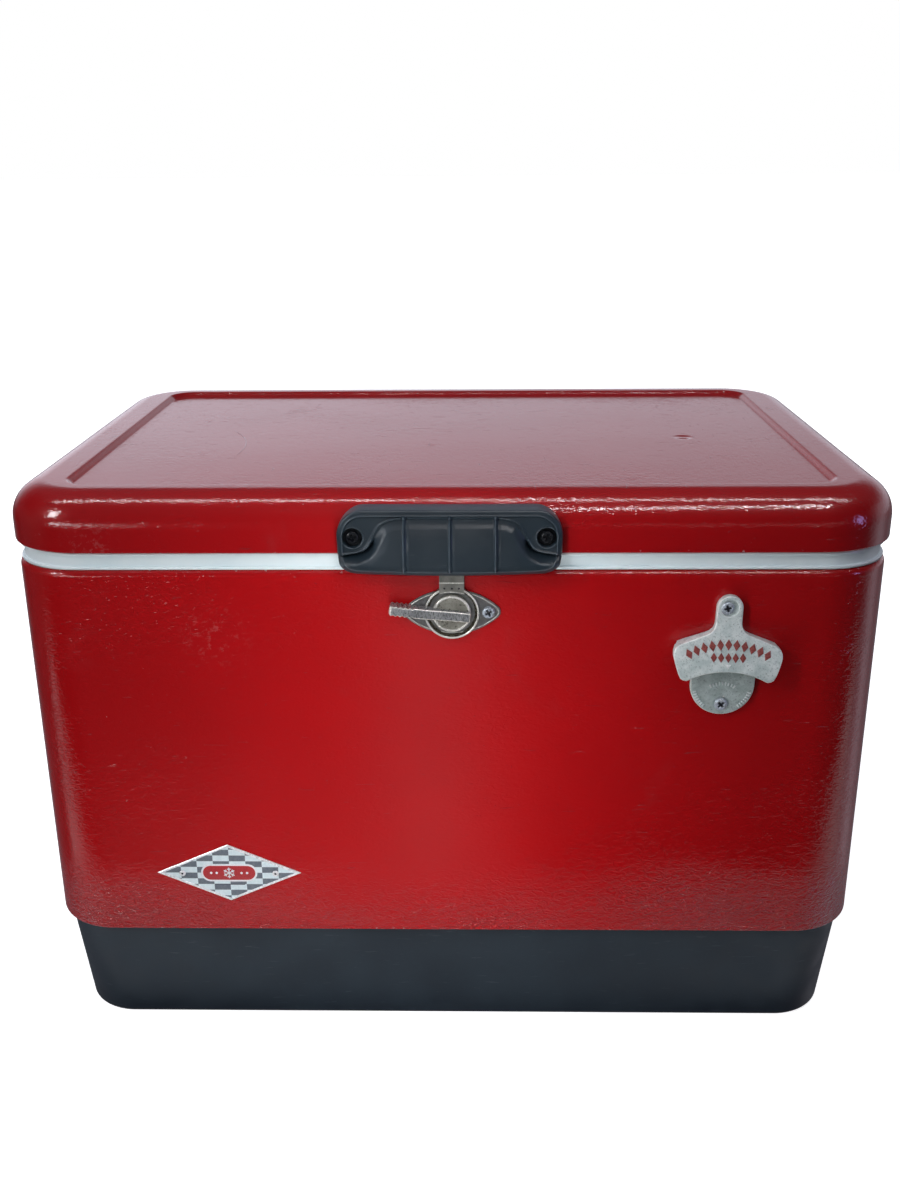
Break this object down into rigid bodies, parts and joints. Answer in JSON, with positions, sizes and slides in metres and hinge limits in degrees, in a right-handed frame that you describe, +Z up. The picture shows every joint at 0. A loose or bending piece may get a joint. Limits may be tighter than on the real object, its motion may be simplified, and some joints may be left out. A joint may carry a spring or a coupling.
{
  "type": "picnic cooler chest",
  "caption": "Insulated steel-belted cooler chest with a hinged lid, turn latch, swinging bail handles, drain cap and a screwed-on bottle opener.",
  "frame": {"origin": "on the ground under the middle of the body", "axes": "+X along the long side to the right as seen from the front, +Y from the front with the latch to the back with the hinges, +Z up"},
  "size_m": [0.6348, 0.4287, 0.414],
  "materials": {
    "red_enamel": "gloss",
    "white_plastic": "satin",
    "black_plastic": "satin",
    "foam": "matte",
    "stainless": "satin",
    "cast_zinc": "satin",
    "badge_metal": "satin",
    "black_screw": "gloss",
    "black_rubber": "matte"
  },
  "bodies": {
    "body": {"badge_pin_left": "stainless", "badge_pin_right": "stainless", "badge_plate": "badge_metal", "base_tray": "black_plastic", "body_foam": "foam", "bottle_opener": "cast_zinc", "drain_tube": "black_plastic", "inner_liner": "white_plastic", "latch_plate": "stainless", "latch_screw_left": "stainless", "latch_screw_right": "stainless", "left_front_bracket": "stainless", "left_front_bracket_screw_lower": "stainless", "left_front_bracket_screw_upper": "stainless", "left_hinge_body_leaf": "stainless", "left_hinge_body_screw_a": "stainless", "left_hinge_body_screw_b": "stainless", "left_hinge_pin": "stainless", "left_rear_bracket": "stainless", "left_rear_bracket_screw_lower": "stainless", "left_rear_bracket_screw_upper": "stainless", "opener_screw_bottom": "stainless", "opener_screw_top": "stainless", "right_front_bracket": "stainless", "right_front_bracket_screw_lower": "stainless", "right_front_bracket_screw_upper": "stainless", "right_hinge_body_leaf": "stainless", "right_hinge_body_screw_a": "stainless", "right_hinge_body_screw_b": "stainless", "right_hinge_pin": "stainless", "right_rear_bracket": "stainless", "right_rear_bracket_screw_lower": "stainless", "right_rear_bracket_screw_upper": "stainless", "steel_belt": "red_enamel"},
    "lid": {"grip_screw_left": "black_screw", "grip_screw_right": "black_screw", "left_hinge_lid_leaf": "stainless", "left_hinge_lid_screw_a": "stainless", "left_hinge_lid_screw_b": "stainless", "lid_foam": "foam", "lid_grip": "black_plastic", "lid_liner": "white_plastic", "lid_shell": "red_enamel", "right_hinge_lid_leaf": "stainless", "right_hinge_lid_screw_a": "stainless", "right_hinge_lid_screw_b": "stainless", "strike_rivet_left": "stainless", "strike_rivet_right": "stainless", "strike_tongue": "stainless"},
    "latch": {"latch_rotor": "stainless", "latch_lever": "stainless"},
    "left_handle": {"left_bail": "stainless", "left_bail_grip": "black_rubber"},
    "right_handle": {"right_bail": "stainless", "right_bail_grip": "black_rubber"},
    "drain_plug": {"drain_cap": "black_plastic"}
  },
  "joints": [
    {"name": "lid_hinge", "type": "hinge", "parent": "body", "child": "lid", "pos_m": [0, 0.2046, 0.369], "axis": [-1, 0, 0], "range_deg": [0, 100]},
    {"name": "latch_turn", "type": "hinge", "parent": "body", "child": "latch", "pos_m": [0.002, -0.198, 0.3337], "axis": [0, -1, 0], "range_deg": [0, 90]},
    {"name": "right_bail_swing", "type": "hinge", "parent": "body", "child": "right_handle", "pos_m": [0.3041, 0, 0.302], "axis": [0, -1, 0], "range_deg": [0, 90]},
    {"name": "left_bail_swing", "type": "hinge", "parent": "body", "child": "left_handle", "pos_m": [-0.3041, 0, 0.302], "axis": [0, 1, 0], "range_deg": [0, 90]},
    {"name": "drain_cap_pull", "type": "slide", "parent": "body", "child": "drain_plug", "axis": [1, 0, 0], "range_m": [0, 0.02]}
  ]
}
